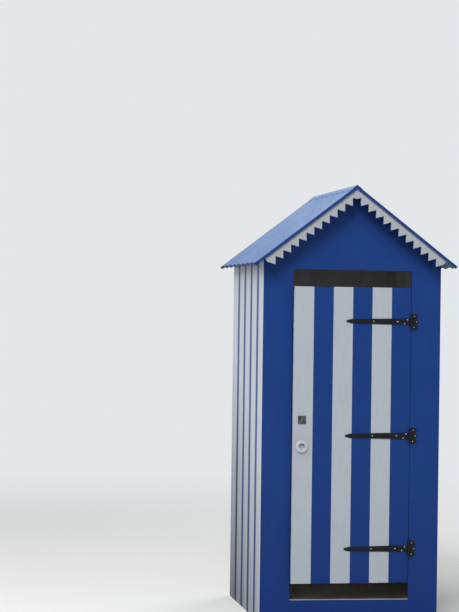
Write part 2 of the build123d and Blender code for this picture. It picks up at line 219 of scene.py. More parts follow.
# Floor and bench.
# Bare plywood sheets with a rotary-cut face. The floor is scuffed, and inside the door it is paler, partly
# with blown sand and partly with painted light from the door's gaps. The bench's front edge is painted
# blue to match the front of the hut.
PLY_PALE = (0.50, 0.46, 0.39, 1)
PLY_BROWN = (0.38, 0.34, 0.28, 1)
PLY_GREY = (0.590, 0.585, 0.565, 1)
PLY_GREY_DARK = (0.510, 0.505, 0.480, 1)
BARE_PLY_ROUGHNESS = 0.70
SCUFFED_PLY_ROUGHNESS = 0.72
FIGURE_PER_METRE = 9
FIGURE_WANDER = 1.4
PORES_PER_METRE = 520
VENEER_DEPTH = 0.0003
SAND_AND_LIGHT_PALE = (0.58, 0.55, 0.48, 1)
SAND_AND_LIGHT_FULL_TO = 0.12
SAND_AND_LIGHT_ENDS_AT = 0.40
SAND_AND_LIGHT_AT_THINNEST = 0.55
SAND_CLUMPS_PER_METRE = 34
SAND_HEIGHT = 2
HUT_BLUE = (0.0050, 0.0355, 0.1800, 1)
HUT_BLUE_WORN = (0.0070, 0.0420, 0.1950, 1)
PAINT_ROUGHNESS = 0.40
SATIN = 0.18
ACROSS_X = (0.06, 1, 1)
MOSTLY = 0.5


def veneer(finish, grain, pale, dark):
    """Colour and height of a rotary-cut face: broad wandering figure, with fine pores along it."""
    figure = finish.ramp(finish.noise(FIGURE_PER_METRE, grain, 3, FIGURE_WANDER), 0.36, 0.64)
    pores = finish.noise(PORES_PER_METRE, grain, 2)
    return finish.mix(figure * 0.75 + pores * 0.25, pale, dark), figure * 0.4 + pores * 0.6


floor_finish = Finish("bare_floor")
ply_colour, ply_height = veneer(floor_finish, ACROSS_X, PLY_PALE, PLY_BROWN)
front_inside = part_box("floor_panel")[0].y
# Inside the door the floor is paler: blown sand, and painted light where light through the gaps falls.
near_door = 1 - floor_finish.ramp(floor_finish.y, front_inside + SAND_AND_LIGHT_FULL_TO, front_inside + SAND_AND_LIGHT_ENDS_AT)
clumps = floor_finish.ramp(floor_finish.noise(SAND_CLUMPS_PER_METRE, detail=6), 0.45, 0.62)
sand_and_painted_light = (SAND_AND_LIGHT_AT_THINNEST + clumps * (1 - SAND_AND_LIGHT_AT_THINNEST)) * near_door
floor_finish.surface({
    "Base Color": floor_finish.mix(sand_and_painted_light, ply_colour, SAND_AND_LIGHT_PALE),
    "Roughness": SCUFFED_PLY_ROUGHNESS,
})
floor_finish.relief(ply_height + sand_and_painted_light * SAND_HEIGHT, VENEER_DEPTH)
give(floor_finish, "floor_panel")

bench_finish = Finish("bench_ply")
ply_colour, ply_height = veneer(bench_finish, ACROSS_X, PLY_PALE, PLY_BROWN)
front_edge = bench_finish.facing_y < -MOSTLY
bench_finish.surface({
    "Base Color": bench_finish.mix(front_edge, ply_colour, HUT_BLUE),
    "Roughness": BARE_PLY_ROUGHNESS - front_edge * (BARE_PLY_ROUGHNESS - PAINT_ROUGHNESS),
    "Specular IOR Level": SATIN,
})
bench_finish.relief(ply_height, VENEER_DEPTH)
give(bench_finish, "bench_board")


# Front sheet: two stiles, a sill panel and the gable.
# Exterior plywood in satin blue, brushed on upright, with the sheet's side edges in the walls' white. The
# blue is darker towards the ground, as painted shade.
# The sill's top edge is pale, and the inner face is bare.
# The walls' white is brighter and bluer than the door's, partly as painted light from the sky on the sides.
WALL_WHITE_WITH_PAINTED_LIGHT = (0.470, 0.515, 0.575, 1)
WALL_WHITE_DULL = (0.400, 0.440, 0.490, 1)
SILL_TOP_PALE = (0.48, 0.52, 0.55, 1)
SILL_PALE_DROP = 0.001
EDGE_SLACK = 0.001
GROUND_SHADE_BLUE = (0.58, 0.70, 0.84, 1)
GROUND_SHADE_TOP = 1.0
BRUSH_MARKS_PER_METRE = 260
BRUSH_DEPTH = 0.0005
SWELLS_PER_METRE = 7
SWELL_WANDER = 1.2
PATCHES_PER_METRE = 3.5
STROKES_PER_METRE = 170
STROKE_STRENGTH = 0.38
FRONT_ROUGHNESS = 0.42
ROUGHNESS_VARIES = 0.10
DULL_SPOTS_PER_METRE = 18
BARE_IS_ROUGHER = 0.25


def brushed_paint(finish):
    """Height of upright brush marks in satin paint, over faint swells of the plywood under it."""
    brush = finish.noise(BRUSH_MARKS_PER_METRE, ALONG_Z, 2)
    return brush * 0.6 + finish.noise(SWELLS_PER_METRE, ALONG_Z, 3, SWELL_WANDER) * 0.4


def uneven(finish, colour, other, share=0.5):
    """A paint colour with soft cloudy patches and fine upright strokes of another."""
    patches = finish.ramp(finish.noise(PATCHES_PER_METRE, detail=4), 0.35, 0.70)
    strokes = finish.ramp(finish.noise(STROKES_PER_METRE, ALONG_Z, 4), 0.38, 0.62) - 0.5
    return finish.mix(patches * share + strokes * STROKE_STRENGTH, colour, other)


def shaded_towards_ground(finish, colour, tint, top):
    """A colour multiplied by a tint on the ground, less and less up to a height: painted shade towards the
    ground.
    """
    low = 1 - finish.ramp(finish.z, 0.0, top)
    return finish.multiply(low, colour, tint)


half_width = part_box("side_wall_right")[1].x
front_finish = Finish("front_blue")
bare_colour, bare_height = veneer(front_finish, ALONG_Z, PLY_GREY, PLY_GREY_DARK)
# The blue is darkened towards the ground as painted shade.
blue = shaded_towards_ground(front_finish, uneven(front_finish, HUT_BLUE, HUT_BLUE_WORN), GROUND_SHADE_BLUE, GROUND_SHADE_TOP)
at_side = (abs(front_finish.facing_x) > MOSTLY) * (abs(front_finish.x) > half_width - EDGE_SLACK)
sill_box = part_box("front_sill_panel")
# A pale line along the sill's top edge.
above_pale_top = front_finish.z > sill_box[1].z - SILL_PALE_DROP
on_sill = above_pale_top * (front_finish.z < sill_box[1].z + EDGE_SLACK) * (abs(front_finish.x) < sill_box[1].x)
inner_face = front_finish.facing_y > MOSTLY
front_colour = front_finish.mix(at_side, blue, WALL_WHITE_WITH_PAINTED_LIGHT)
front_colour = front_finish.mix(on_sill, front_colour, SILL_TOP_PALE)
dull_spots = front_finish.noise(DULL_SPOTS_PER_METRE, detail=4)
front_finish.surface({
    "Base Color": front_finish.mix(inner_face, front_colour, bare_colour),
    "Roughness": FRONT_ROUGHNESS + dull_spots * ROUGHNESS_VARIES + inner_face * BARE_IS_ROUGHER,
    "Specular IOR Level": SATIN,
})
front_finish.relief(brushed_paint(front_finish) * (1 - inner_face) + bare_height * inner_face, BRUSH_DEPTH)
give(front_finish, "front_stile_left", "front_stile_right", "front_sill_panel", "front_gable")


# Side walls and back wall.
# Plywood in satin white with four narrow upright stripes masked and painted in the hut's blue. Each
# wall darkens towards the ground and the back of the hut, partly grime and partly painted shade, and its
# inner face is bare.
STRIPE_WIDTH = 0.068
STRIPE_PITCH = 0.2285
STRIPES_PER_WALL = 4
FIRST_SIDE_STRIPE = 0.192
PAINT_EDGE = 0.0012
SECOND_COAT = 0.3
WALL_DULL_SHARE = 0.3
WALL_PAINT_ROUGHNESS = 0.44
SAND_SPLASH_HEIGHT = 0.09
SAND_SPLASH_SHARE = 0.12
SAND_SPECKS_PER_METRE = 90
WALL_GRIME_AND_SHADE = (0.150, 0.142, 0.135, 1)
GRIME_AND_SHADE_TOP_AT_FRONT = 0.9
GRIME_AND_SHADE_RISE_TO_BACK = 0.6
GRIME_AND_SHADE_SHARE_AT_FRONT = 0.40
GRIME_AND_SHADE_SHARE_ON_BACK = 0.50
GRIME_STREAKS_PER_METRE = 11
GRIME_STREAK_WANDER = 0.4
GRIME_STREAK_STRENGTH = 0.35
GRIME_ROUGHNESS = 0.35
front_y = sill_box[0].y
back_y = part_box("back_wall")[1].y


def wall_stripes(finish, along):
    """1 on the stripes, whose first centre lies at along 0."""
    nearest = (along / STRIPE_PITCH + 0.5) // 1
    off_centre = abs(along - nearest * STRIPE_PITCH)
    painted = (nearest > -0.5) * (nearest < STRIPES_PER_WALL - 0.5)
    edge = STRIPE_WIDTH / 2
    return (1 - finish.ramp(off_centre, edge - PAINT_EDGE, edge + PAINT_EDGE)) * painted


def splashed(finish, colour):
    """Rain-splashed sand, drying pale on the lowest part of a wall."""
    low = 1 - finish.ramp(finish.z, 0.0, SAND_SPLASH_HEIGHT)
    specks = finish.ramp(finish.noise(SAND_SPECKS_PER_METRE, detail=5), 0.52, 0.66)
    return finish.mix(low * specks * SAND_SPLASH_SHARE, colour, SAND_AND_LIGHT_PALE)


def striped_wall(name, along_y):
    """Finish of a side wall, whose stripes are set out along Y, or of the back wall, along X."""
    finish = Finish(name)
    depth_share = (finish.y - front_y) / (back_y - front_y)
    if along_y:
        stripes = wall_stripes(finish, finish.y - front_y - FIRST_SIDE_STRIPE)
        outer = (finish.facing_x * finish.x.sign()) > -MOSTLY
        share = GRIME_AND_SHADE_SHARE_AT_FRONT + depth_share * (1 - GRIME_AND_SHADE_SHARE_AT_FRONT)
    else:
        first = -STRIPE_PITCH * (STRIPES_PER_WALL - 1) / 2
        stripes = wall_stripes(finish, finish.x - first)
        outer = finish.facing_y > -MOSTLY
        share = GRIME_AND_SHADE_SHARE_ON_BACK
    bare, bare_height = veneer(finish, ALONG_Z, PLY_GREY, PLY_GREY_DARK)
    # Darker towards the ground and the back: partly grime, partly painted shade.
    grime_and_shade_top = GRIME_AND_SHADE_TOP_AT_FRONT + depth_share * GRIME_AND_SHADE_RISE_TO_BACK
    streaks = finish.noise(GRIME_STREAKS_PER_METRE, ALONG_Z, 5, GRIME_STREAK_WANDER)
    streaked = 1 + (finish.ramp(streaks, 0.35, 0.65) - 0.5) * GRIME_STREAK_STRENGTH
    grime_and_shade = (1 - finish.ramp(finish.z, 0.0, grime_and_shade_top, "LINEAR")) * share * streaked
    white = uneven(finish, WALL_WHITE_WITH_PAINTED_LIGHT, WALL_WHITE_DULL, WALL_DULL_SHARE)
    paint = splashed(finish, finish.multiply(grime_and_shade, finish.mix(stripes, white, HUT_BLUE), WALL_GRIME_AND_SHADE))
    smoother = BARE_PLY_ROUGHNESS - WALL_PAINT_ROUGHNESS - grime_and_shade * GRIME_ROUGHNESS
    finish.surface({
        "Base Color": finish.mix(outer, bare, paint),
        "Roughness": BARE_PLY_ROUGHNESS - outer * smoother,
        "Specular IOR Level": SATIN,
    })
    coats = brushed_paint(finish) + stripes * SECOND_COAT
    finish.relief(coats * outer + bare_height * (1 - outer), BRUSH_DEPTH)
    return finish


give(striped_wall("side_stripes", along_y=True), "side_wall_left", "side_wall_right")
give(striped_wall("back_stripes", along_y=False), "back_wall")


# Purlins and door stop.
# Sawn timber in the same blue as the front. The purlins run through the gables and carry the roof, and
# the stop is screwed to the back of the left stile.
PAINTED_TIMBER_ROUGHNESS = 0.50
SAW_MARKS_PER_METRE = 300

blue_timber = Finish("blue_timber")
blue_timber.surface({
    "Base Color": uneven(blue_timber, HUT_BLUE, HUT_BLUE_WORN),
    "Roughness": PAINTED_TIMBER_ROUGHNESS,
    "Specular IOR Level": SATIN,
})
blue_timber.relief(blue_timber.noise(SAW_MARKS_PER_METRE, ALONG_Y, 2), SAW_MARK_DEPTH)
give(blue_timber, "ridge_purlin", "eave_purlin_left", "eave_purlin_right", "door_stop")


# Roof sheets and ridge cap.
# Corrugated sheet with a faded blue face, a grey-blue underside and dark blue edges, laid on the purlins
# and fixed through the crests, with painted shade on the eave's end and a narrow band of the face above
# it. A moulded strip closes the ridge.
ROOF_BLUE = (0.112, 0.184, 0.343, 1)
ROOF_BLUE_FADED = (0.174, 0.252, 0.428, 1)
ROOF_UNDER = (0.150, 0.176, 0.260, 1)
ROOF_FOLD = (0.010, 0.038, 0.160, 1)
EAVE_PAINTED_SHADE = (0.004, 0.016, 0.085, 1)
CLOSURE_PAINTED_LIGHT = (0.34, 0.48, 0.78, 1)
TROUGH_DIRT_AND_SHADE = (0.45, 0.51, 0.68, 1)
TROUGH_DIRT_AND_SHADE_REACH = 0.20
MOTTLES_PER_METRE = 5
MOTTLE_SHARE = 0.4
RIDGE_PALER_SHARE = 0.6
ROOF_ROUGHNESS = 0.48
ROOF_ROUGHNESS_VARIES = 0.12
ROOF_DULL_SPOTS_PER_METRE = 40
UNDERSIDE_IS_ROUGHER = 0.25
SHEET_GRAIN_PER_METRE = 700
SHEET_GRAIN_DEPTH = 0.0002
FACE_LOOKS_UP = 0.3
UNDERSIDE_LOOKS_DOWN = -0.7
WAVES = 8
ROOF_PITCH = radians(37.5)
CREST_OUT = 0.0128
EAVE_SHADE_BAND = 0.017
CAP_REACH = 0.06
ridge_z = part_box("ridge_purlin")[1].z
roof_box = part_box("roof_sheet_right")
slope_end = (roof_box[1].x - CREST_OUT * sin(ROOF_PITCH)) / cos(ROOF_PITCH)
crest_pitch = (roof_box[1].y - roof_box[0].y) / WAVES

roof_finish = Finish("roof_blue")
down_slope = abs(roof_finish.x) * cos(ROOF_PITCH) + (ridge_z - roof_finish.z) * sin(ROOF_PITCH)
# Painted shade on the eave's end and a narrow band of the face above it.
in_eave_shade = down_slope > slope_end - EAVE_SHADE_BAND
on_face = (roof_finish.facing_z > FACE_LOOKS_UP) * (1 - in_eave_shade)
# The ridge strip's closure faces are painted pale, as painted light that lifts their shade.
closure = (abs(roof_finish.facing_x) > MOSTLY) * (roof_finish.facing_z < 0) * (down_slope < CAP_REACH)
seen_from_below = roof_finish.facing_z < UNDERSIDE_LOOKS_DOWN
mottled = roof_finish.ramp(roof_finish.noise(MOTTLES_PER_METRE, detail=5), 0.35, 0.68)
# The face is paler towards the ridge.
near_ridge = 1 - roof_finish.ramp(down_slope, 0.0, slope_end)
faded_and_paler_to_ridge = mottled * MOTTLE_SHARE + near_ridge * RIDGE_PALER_SHARE
roof_blue = roof_finish.mix(faded_and_paler_to_ridge, ROOF_BLUE, ROOF_BLUE_FADED)
# Near the eave the troughs are darker, partly dirt and partly painted shade.
from_trough = abs(((roof_finish.y - roof_box[0].y) / crest_pitch) % 1 - 0.5)
near_eave = roof_finish.ramp(down_slope, slope_end - TROUGH_DIRT_AND_SHADE_REACH, slope_end)
dirt_and_shade = (1 - roof_finish.ramp(from_trough, 0.05, 0.32)) * near_eave
roof_blue = roof_finish.multiply(dirt_and_shade, roof_blue, TROUGH_DIRT_AND_SHADE)
roof_edge = roof_finish.mix(in_eave_shade, ROOF_FOLD, EAVE_PAINTED_SHADE)
roof_edge = roof_finish.mix(closure, roof_edge, CLOSURE_PAINTED_LIGHT)
roof_colour = roof_finish.mix(on_face, roof_edge, roof_blue)
dull_spots = roof_finish.noise(ROOF_DULL_SPOTS_PER_METRE, detail=4)
rougher = dull_spots * ROOF_ROUGHNESS_VARIES
roof_finish.surface({
    "Base Color": roof_finish.mix(seen_from_below, roof_colour, ROOF_UNDER),
    "Roughness": ROOF_ROUGHNESS + rougher + seen_from_below * UNDERSIDE_IS_ROUGHER,
    "Specular IOR Level": SATIN,
})
roof_finish.relief(roof_finish.noise(SHEET_GRAIN_PER_METRE, detail=2), SHEET_GRAIN_DEPTH)
give(roof_finish, "roof_sheet_left", "roof_sheet_right", "ridge_cap")

CAP_OUT = 0.0151
FIXING_RADIUS = 0.0045
FIXING_WASHER_RADIUS = 0.007
FIXING_WASHER_THICK = 0.0008
FIXING_WASHER_TAPER = 0.8
FIXING_HEIGHT = 0.002
CAP_FIXING_X = 0.011
HEAD_SIDES = 16
purlin_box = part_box("eave_purlin_right")
eave_purlin_x = (purlin_box[0].x + purlin_box[1].x) / 2


def keep_mesh(shape, name):
    """Turns a finished bmesh into a mesh and lets the bmesh go."""
    mesh = bpy.data.meshes.new(name)
    shape.to_mesh(mesh)
    shape.free()
    return mesh


def domed_head(radius, height):
    """Mesh of one domed head, standing on the XY plane."""
    dome = bmesh.new()
    bmesh.ops.create_uvsphere(dome, u_segments=HEAD_SIDES, v_segments=HEAD_SIDES // 2, radius=radius)
    whole = dome.verts[:] + dome.edges[:] + dome.faces[:]
    bmesh.ops.bisect_plane(dome, geom=whole, plane_co=(0, 0, 0), plane_no=(0, 0, -1), clear_outer=True)
    bmesh.ops.contextual_create(dome, geom=[edge for edge in dome.edges if edge.is_boundary])
    bmesh.ops.scale(dome, vec=(1, 1, height / radius), verts=dome.verts)
    bmesh.ops.recalc_face_normals(dome, faces=dome.faces)
    return keep_mesh(dome, "dome")


def add_copies(shape, mesh, places):
    """Sets a copy of a mesh at each place."""
    for place in places:
        before = len(shape.verts)
        shape.from_mesh(mesh)
        shape.verts.ensure_lookup_table()
        bmesh.ops.transform(shape, matrix=place, verts=shape.verts[before:])


def fit_piece(shape, name, finish, body):
    """Makes a finished piece of a shape that already lies in its place."""
    piece = bpy.data.objects.new(name, keep_mesh(shape, name))
    piece.data.materials.append(finish.material)
    bpy.context.scene.collection.objects.link(piece)
    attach(piece, body)


def on_slope(side, x, y, out):
    """Place on one slope of the roof, with its Z pointing straight out of the sheet."""
    ridge = Matrix.Translation((0, y, ridge_z)) @ Matrix.Rotation(side * ROOF_PITCH, 4, "Y")
    return ridge @ Matrix.Translation((side * x / cos(ROOF_PITCH), 0, out))


def washer():
    """Mesh of one low washer with a sloping rim, standing on the XY plane."""
    disc = bmesh.new()
    bmesh.ops.create_cone(disc, cap_ends=True, segments=HEAD_SIDES, radius1=FIXING_WASHER_RADIUS,
                          radius2=FIXING_WASHER_RADIUS * FIXING_WASHER_TAPER, depth=FIXING_WASHER_THICK)
    bmesh.ops.translate(disc, vec=(0, 0, FIXING_WASHER_THICK / 2), verts=disc.verts)
    return keep_mesh(disc, "washer")


fixing_head = domed_head(FIXING_RADIUS, FIXING_HEIGHT)
fixing_washer = washer()
on_washer = Matrix.Translation((0, 0, FIXING_WASHER_THICK))
crests = [roof_box[0].y + wave * crest_pitch for wave in range(1, WAVES, 2)]
for side_name, side in (("left", -1), ("right", 1)):
    fixings = bmesh.new()
    places = [on_slope(side, eave_purlin_x, y, CREST_OUT) for y in crests]
    places += [on_slope(side, CAP_FIXING_X, y, CAP_OUT) for y in crests]
    add_copies(fixings, fixing_washer, places)
    add_copies(fixings, fixing_head, [place @ on_washer for place in places])
    fit_piece(fixings, f"roof_fixings_{side_name}", roof_finish, "hut")


# Bargeboards.
# Planed boards cut in saw teeth and painted white on every face, nailed to the ends of the purlins and
# mitred over the ridge. The paint is a little warmer than the walls'.
BARGE_WHITE = (0.374, 0.395, 0.434, 1)
BARGE_WHITE_DULL = (0.327, 0.343, 0.371, 1)
BARGE_DULL_SHARE = 0.4
BARGE_ROUGHNESS = 0.46
BARGE_BRUSH_MARKS_PER_METRE = 240
ALONG_BOARD = (0.2, 1, 1)
NAIL_RADIUS = 0.0025
NAIL_HEIGHT = 0.0006
NAIL_BELOW_RIDGE = 0.022
NAIL_ROW_DROP = 0.014
NAIL_BESIDE_RIDGE = 0.011
NAIL_BELOW_DECK = 0.016
NAIL_APART = 0.018

barge_finish = Finish("barge_white")
barge_finish.surface({
    "Base Color": uneven(barge_finish, BARGE_WHITE, BARGE_WHITE_DULL, BARGE_DULL_SHARE),
    "Roughness": BARGE_ROUGHNESS,
    "Specular IOR Level": SATIN,
})
barge_finish.relief(barge_finish.noise(BARGE_BRUSH_MARKS_PER_METRE, ALONG_BOARD, 3), BRUSH_DEPTH)
boards = [f"bargeboard_{end}_{side}" for end in ("front", "back") for side in ("left", "right")]
give(barge_finish, *boards)

FACING_FRONT = Matrix.Rotation(radians(90), 4, "X")
FACING_BACK = Matrix.Rotation(radians(-90), 4, "X")
nail_head = domed_head(NAIL_RADIUS, NAIL_HEIGHT)
ridge_nail_heights = [ridge_z - NAIL_BELOW_RIDGE - row * NAIL_ROW_DROP for row in range(2)]
for end, y, turn in (("front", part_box("bargeboard_front_left")[0].y, FACING_FRONT),
                     ("back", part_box("bargeboard_back_left")[1].y, FACING_BACK)):
    nails = bmesh.new()
    for side in (-1, 1):
        marks = [(side * NAIL_BESIDE_RIDGE, z) for z in ridge_nail_heights]
        for apart in (-NAIL_APART / 2, NAIL_APART / 2):
            x = eave_purlin_x + apart
            marks.append((side * x, ridge_z - x * tan(ROOF_PITCH) - NAIL_BELOW_DECK))
        add_copies(nails, nail_head, [Matrix.Translation((x, y, z)) @ turn for x, z in marks])
    fit_piece(nails, f"bargeboard_nails_{end}", barge_finish, "hut")


# Wall screws.
# Countersunk screws that hold the front, side and back sheets to the corner posts, painted over with
# the wall, so that only a low disc shows.
WALL_SCREW_RADIUS = 0.004
WALL_SCREW_HEIGHT = 0.0006
WALL_SCREW_PITCH = 0.30
WALL_SCREWS = 6
LOWEST_SCREW = 0.20
SCREW_DULL_SHARE = 0.2
post_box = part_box("corner_post_front_right")
post_x = (post_box[0].x + post_box[1].x) / 2
post_front_y = (post_box[0].y + post_box[1].y) / 2
screw_heights = [LOWEST_SCREW + number * WALL_SCREW_PITCH for number in range(WALL_SCREWS)]
wall_screw = domed_head(WALL_SCREW_RADIUS, WALL_SCREW_HEIGHT)

screw_blue = Finish("screw_blue")
screw_blue.surface({
    "Base Color": uneven(screw_blue, HUT_BLUE, HUT_BLUE_WORN),
    "Roughness": WALL_PAINT_ROUGHNESS,
    "Specular IOR Level": SATIN,
})
screw_white = Finish("screw_white")
screw_white.surface({
    "Base Color": uneven(screw_white, WALL_WHITE_WITH_PAINTED_LIGHT, WALL_WHITE_DULL, SCREW_DULL_SHARE),
    "Roughness": WALL_PAINT_ROUGHNESS,
    "Specular IOR Level": SATIN,
})

front_screws = bmesh.new()
back_screws = bmesh.new()
for z in screw_heights:
    for x in (-post_x, post_x):
        add_copies(front_screws, wall_screw, [Matrix.Translation((x, front_y, z)) @ FACING_FRONT])
        add_copies(back_screws, wall_screw, [Matrix.Translation((x, back_y, z)) @ FACING_BACK])
fit_piece(front_screws, "front_screws", screw_blue, "hut")
fit_piece(back_screws, "back_screws", screw_white, "hut")
for side_name, side in (("left", -1), ("right", 1)):
    side_screws = bmesh.new()
    turn = Matrix.Rotation(side * radians(90), 4, "Y")
    for z in screw_heights:
        for y in (post_front_y, -post_front_y):
            add_copies(side_screws, wall_screw, [Matrix.Translation((side * half_width, y, z)) @ turn])
    fit_piece(side_screws, f"side_screws_{side_name}", screw_white, "hut")


# Door panel.
# One plywood sheet, masked and painted in six equal upright stripes, blue at the hinges and white at
# the lock. Its edges follow the stripes and its inner face is bare. It stands a little open.
DOOR_STRIPES = 6
DOOR_EDGE_FROM_PIN = 0.00125
DOOR_WIDTH = 0.665
DOOR_WHITE = (0.412, 0.450, 0.497, 1)
DOOR_WHITE_DULL = (0.365, 0.398, 0.442, 1)
DOOR_DULL_SHARE = 0.35
GROUND_SHADE_WHITE = (0.91, 0.92, 0.94, 1)
HAND_GRIME = (0.300, 0.305, 0.315, 1)
HAND_GRIME_FROM_EDGE = 0.05
HAND_GRIME_RADIUS = 0.11
HAND_GRIME_SHARE = 0.35
SMUDGES_PER_METRE = 30

hinge = frame["joints"][0]
pin = Vector(hinge["pos_m"])
ajar = radians(-hinge["range_deg"][0])
pull_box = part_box("pull_ring")
pull_z = (pull_box[0].z + pull_box[1].z) / 2

door_finish = Finish("door_stripes")
from_pin_x = door_finish.x - pin.x
from_pin_y = door_finish.y - pin.y
from_pin = -1 * (from_pin_x * cos(ajar) + from_pin_y * sin(ajar))
stripe_number = (from_pin - DOOR_EDGE_FROM_PIN) // (DOOR_WIDTH / DOOR_STRIPES)
white_stripe = stripe_number % 2
inner_door = (door_finish.facing_y * cos(ajar) - door_finish.facing_x * sin(ajar)) > MOSTLY
bare_colour, bare_height = veneer(door_finish, ALONG_Z, PLY_GREY, PLY_GREY_DARK)
pull_from_pin = DOOR_WIDTH + DOOR_EDGE_FROM_PIN - HAND_GRIME_FROM_EDGE
off_pull = ((from_pin - pull_from_pin) * (from_pin - pull_from_pin)
            + (door_finish.z - pull_z) * (door_finish.z - pull_z)) / HAND_GRIME_RADIUS ** 2
handled = (1 - door_finish.ramp(off_pull, 0.0, 1.0)) * door_finish.noise(SMUDGES_PER_METRE, detail=5)
door_white = uneven(door_finish, DOOR_WHITE, DOOR_WHITE_DULL, DOOR_DULL_SHARE)
door_white = door_finish.mix(handled * HAND_GRIME_SHARE, door_white, HAND_GRIME)
# Both door colours are darkened towards the ground as painted shade.
door_white = shaded_towards_ground(door_finish, door_white, GROUND_SHADE_WHITE, GROUND_SHADE_TOP)
door_blue = shaded_towards_ground(door_finish, uneven(door_finish, HUT_BLUE, HUT_BLUE_WORN), GROUND_SHADE_BLUE, GROUND_SHADE_TOP)
door_colour = door_finish.mix(white_stripe, door_blue, door_white)
dull_spots = door_finish.noise(DULL_SPOTS_PER_METRE, detail=4)
door_finish.surface({
    "Base Color": door_finish.mix(inner_door, door_colour, bare_colour),
    "Roughness": PAINT_ROUGHNESS + dull_spots * ROUGHNESS_VARIES + inner_door * BARE_IS_ROUGHER,
    "Specular IOR Level": SATIN,
})
coats = brushed_paint(door_finish) + white_stripe * SECOND_COAT
door_finish.relief(coats * (1 - inner_door) + bare_height * inner_door, BRUSH_DEPTH)
give(door_finish, "door_panel")


# T-hinges.
# Pressed and rolled steel in black enamel: a leaf on the stile, a long strap on the door and a headed
# pin. The straps are held by cup-headed bolts and the leaves by round-headed screws, in bright zinc.
IRON_BLACK = (0.004, 0.005, 0.008, 1)
IRON_WORN = (0.034, 0.033, 0.032, 1)
CHIPS_PER_METRE = 150
CHIP_SHARE = 0.6
ENAMEL_ROUGHNESS = 0.40
ENAMEL_ROUGHNESS_VARIES = 0.20
ENAMEL_DULL_SPOTS_PER_METRE = 60
ENAMEL_RIPPLES_PER_METRE = 230
ENAMEL_DEPTH = 0.0003
ZINC = (0.265, 0.280, 0.305, 1)
ZINC_METALLIC = 0.85
ZINC_ROUGHNESS = 0.30
ZINC_ROUGHNESS_VARIES = 0.20
ZINC_SPANGLES_PER_METRE = 400
PLATE_FACE_BEHIND_PIN = 0.0035
BOLT_RADIUS = 0.0045
BOLT_HEIGHT = 0.0028
LEAF_SCREW_RADIUS = 0.0040
LEAF_SCREW_HEIGHT = 0.0024
STRAP_BOLTS = ((0.215, 0), (0.077, 0), (0.038, -0.012), (0.0215, 0.010))
LEAF_SCREWS = ((0.0185, 0.031), (0.0305, 0), (0.0155, -0.031))

iron = Finish("black_enamel")
chips = iron.ramp(iron.noise(CHIPS_PER_METRE, detail=5), 0.60, 0.70)
iron.surface({
    "Base Color": iron.mix(chips * CHIP_SHARE, IRON_BLACK, IRON_WORN),
    "Roughness": ENAMEL_ROUGHNESS + iron.noise(ENAMEL_DULL_SPOTS_PER_METRE) * ENAMEL_ROUGHNESS_VARIES,
    "Specular IOR Level": SATIN,
})
iron.relief(iron.noise(ENAMEL_RIPPLES_PER_METRE), ENAMEL_DEPTH)
zinc = Finish("bright_zinc")
zinc.surface({
    "Base Color": ZINC,
    "Metallic": ZINC_METALLIC,
    "Roughness": ZINC_ROUGHNESS + zinc.noise(ZINC_SPANGLES_PER_METRE) * ZINC_ROUGHNESS_VARIES,
})

bolt_head = domed_head(BOLT_RADIUS, BOLT_HEIGHT)
leaf_screw = domed_head(LEAF_SCREW_RADIUS, LEAF_SCREW_HEIGHT)
door_frame = Matrix.Translation((pin.x, pin.y, 0)) @ Matrix.Rotation(ajar, 4, "Z")
for level in ("upper", "middle", "lower"):
    give(iron, f"hinge_leaf_{level}", f"hinge_strap_{level}", f"hinge_pin_{level}")
    leaf_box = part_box(f"hinge_leaf_{level}")
    height = (leaf_box[0].z + leaf_box[1].z) / 2
    bolts = bmesh.new()
    for along, rise in STRAP_BOLTS:
        mark = Matrix.Translation((-along, PLATE_FACE_BEHIND_PIN, height + rise))
        add_copies(bolts, bolt_head, [door_frame @ mark @ FACING_FRONT])
    fit_piece(bolts, f"strap_bolts_{level}", zinc, "door")
    screws = bmesh.new()
    for along, rise in LEAF_SCREWS:
        mark = Matrix.Translation((pin.x + along, pin.y + PLATE_FACE_BEHIND_PIN, height + rise))
        add_copies(screws, leaf_screw, [mark @ FACING_FRONT])
    fit_piece(screws, f"leaf_screws_{level}", zinc, "hut")


# Lock.
# A square steel plate round the keyhole, darkened by weather, with a slotted screw in each corner. The
# rim lock that it serves is screwed to the inner face, in dull zinc.
PLATE_STEEL = (0.120, 0.120, 0.117, 1)
PLATE_STAINED = (0.028, 0.030, 0.028, 1)
PLATE_METALLIC = 0.6
PLATE_ROUGHNESS = 0.36
STAIN_IS_ROUGHER = 0.22
STAINS_PER_METRE = 120
PLATE_SCRATCHES_PER_METRE = 900
PLATE_SCRATCH_GRAIN = (1, 1, 0.08)
PLATE_SCRATCH_DEPTH = 0.0002
CASE_ZINC = (0.400, 0.410, 0.415, 1)
CASE_METALLIC = 0.7
CASE_ROUGHNESS = 0.42
CASE_ROUGHNESS_VARIES = 0.20
CASE_DULL_SPOTS_PER_METRE = 200
LOCK_PLATE_THICK = 0.003
LOCK_FROM_PIN = 0.61625
LOCK_SCREW_OUT = 0.017
LOCK_SCREW_RADIUS = 0.0024
LOCK_SCREW_HEIGHT = 0.0008
LOCK_SLOT_WIDTH = 0.0008
LOCK_SLOT_DEPTH = 0.0005
DOOR_FACE_BEHIND_PIN = 0.0065

